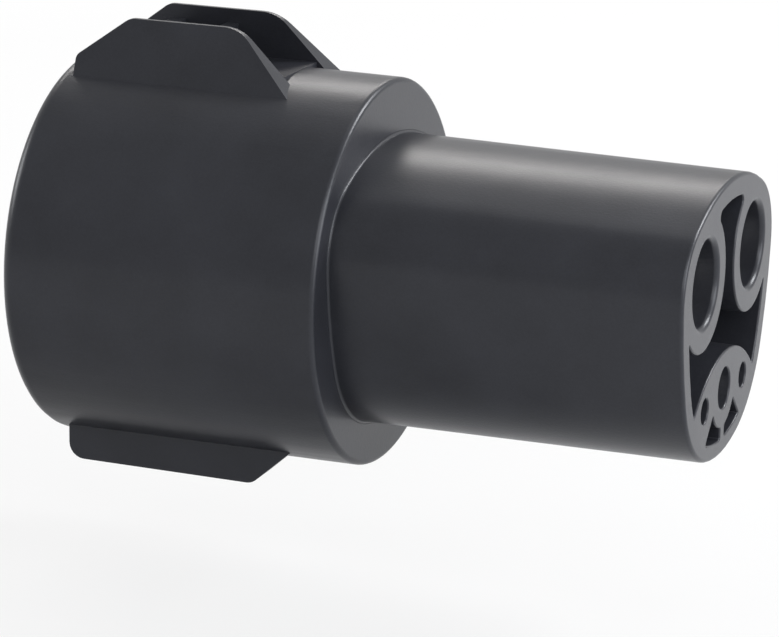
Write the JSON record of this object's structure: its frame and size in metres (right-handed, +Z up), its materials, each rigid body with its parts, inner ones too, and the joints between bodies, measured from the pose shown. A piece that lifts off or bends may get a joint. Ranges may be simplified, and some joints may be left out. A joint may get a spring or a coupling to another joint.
{
  "type": "electric vehicle charging adapter",
  "caption": "Charging adapter: a round plug socket with latch guard wings on a drum, and an egg-shaped vehicle nose with a keyed face of contact openings.",
  "frame": {"origin": "centre of the bounding box's base: on the middle plane, at mid length, at the height of the foot ribs' lowest edge", "axes": "+X along the connector axis towards the nose that goes into the vehicle, +Y across, +Z up towards the latch guard wings"},
  "size_m": [0.0848, 0.049, 0.0558],
  "materials": {
    "plastic": "charcoal moulded plastic, fine grain",
    "seal_rubber": "black elastomer",
    "screw_steel": "bright zinc",
    "pin_silver": "silver plated",
    "contact_brass": "plain brass"
  },
  "bodies": {
    "root": {"drum_shell": "plastic", "nose_shell": "plastic", "pin_carrier": "plastic", "contact_holder": "plastic", "root_gasket": "seal_rubber", "carrier_seal": "seal_rubber", "case_screws": "screw_steel", "line_pin": "pin_silver", "neutral_pin": "pin_silver", "ground_pin": "pin_silver", "pilot_pin": "pin_silver", "proximity_pin": "pin_silver", "line_socket": "contact_brass", "neutral_socket": "contact_brass", "ground_socket": "contact_brass", "pilot_socket": "contact_brass", "proximity_socket": "contact_brass", "line_spring": "pin_silver", "neutral_spring": "pin_silver", "line_coupler": "contact_brass", "neutral_coupler": "contact_brass", "ground_coupler": "contact_brass", "pilot_coupler": "contact_brass", "proximity_coupler": "contact_brass"}
  },
  "joints": []
}
